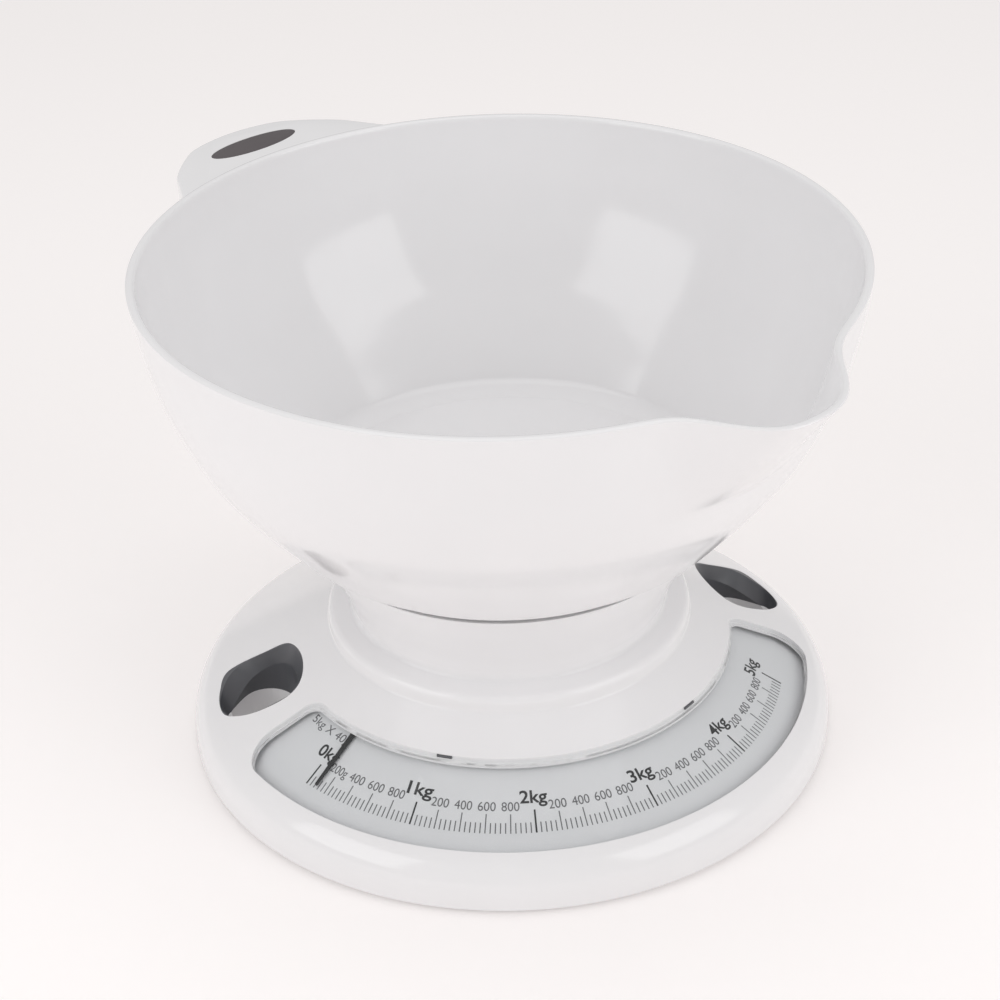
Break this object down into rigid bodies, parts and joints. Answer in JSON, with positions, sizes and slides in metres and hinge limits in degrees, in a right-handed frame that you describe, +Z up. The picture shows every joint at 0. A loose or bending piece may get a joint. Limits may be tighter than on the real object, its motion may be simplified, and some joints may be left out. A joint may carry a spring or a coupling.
{
  "type": "mechanical kitchen scale",
  "caption": "Round mechanical kitchen scale with a sloping ring dial, a spring-loaded platform on a waisted column, and a lift-off mixing bowl with handle tab and pouring spout.",
  "frame": {"origin": "on the axis of the column, on the table under the rubber feet", "axes": "+Z up, -Y towards the front of the dial, +X to the right of a person reading the dial"},
  "size_m": [0.23, 0.2623, 0.1722],
  "materials": {
    "white_plastic": "polished moulding",
    "dark_plastic": "satin moulding",
    "clear_lens": "clear polished plastic window",
    "dial_face": "printed sheet",
    "black_paint": "satin black",
    "inner_plastic": "plain moulding",
    "gear_plastic": "natural acetal",
    "plated_steel": "zinc plated",
    "spring_steel": "oiled spring steel",
    "zinc_screw": "bright zinc",
    "bronze": "sintered",
    "grey_rubber": "matt",
    "dark_rubber": "fine texture"
  },
  "bodies": {
    "base": {"base_housing": "white_plastic", "grip_liner_left": "dark_plastic", "grip_liner_right": "dark_plastic", "dial_lens": "clear_lens", "dial_plate": "dial_face", "dial_screws": "zinc_screw", "bottom_cover": "white_plastic", "cover_screws": "zinc_screw", "rubber_feet": "grey_rubber", "support_deck": "inner_plastic", "deck_screws": "zinc_screw", "lower_bush": "bronze", "upper_bush": "bronze", "spring_seat": "spring_steel", "hub_clip": "spring_steel", "rack_frame": "plated_steel", "rack_frame_screws": "zinc_screw", "crank_bracket": "plated_steel", "crank_pin": "plated_steel", "main_spring": "spring_steel"},
    "platform_body": {"platform": "white_plastic", "platform_screw": "zinc_screw", "plunger_stem": "plated_steel", "drive_pin": "plated_steel", "stem_clip": "spring_steel"},
    "bowl_body": {"bowl": "white_plastic", "grip_insert": "dark_rubber"},
    "pointer_body": {"pointer_hub": "gear_plastic", "pointer": "black_paint"},
    "rack_body": {"rack": "gear_plastic"},
    "crank_body": {"bell_crank": "gear_plastic"},
    "zero_body": {"zero_screw": "plated_steel", "zero_knob": "white_plastic", "zero_clip": "spring_steel"}
  },
  "joints": [
    {"name": "platform_slide", "type": "slide", "parent": "base", "child": "platform_body", "axis": [0, 0, -1], "range_m": [-0.00024, 0.0036], "stiffness_N_per_m": 13625, "springref_m": -0.0002, "deforming": ["main_spring"]},
    {"name": "pointer_turn", "type": "hinge", "parent": "base", "child": "pointer_body", "pos_m": [0, 0, 0.032], "axis": [0, 0, 1], "range_deg": [-8.5, 125.2]},
    {"name": "rack_slide", "type": "slide", "parent": "base", "child": "rack_body", "axis": [0, -1, 0], "range_m": [-0.00104, 0.0153]},
    {"name": "crank_turn", "type": "hinge", "parent": "base", "child": "crank_body", "pos_m": [0, 0.00471, 0.009], "axis": [1, 0, 0], "range_deg": [-3, 43.9]},
    {"name": "zero_turn", "type": "hinge", "parent": "base", "child": "zero_body", "pos_m": [-0.0059, 0.06, 0.0085], "axis": [0, 1, 0], "range_deg": [-108, 108]},
    {"name": "bowl_lift", "type": "slide", "parent": "platform_body", "child": "bowl_body", "axis": [0, 0, 1], "range_m": [0, 0.12]}
  ],
  "couplings": [
    {"joint": "pointer_turn", "follows": "platform_slide", "rad_per_m": 606.02},
    {"joint": "rack_slide", "follows": "platform_slide", "ratio": 4.2421},
    {"joint": "crank_turn", "follows": "platform_slide", "rad_per_m": 212.11}
  ]
}
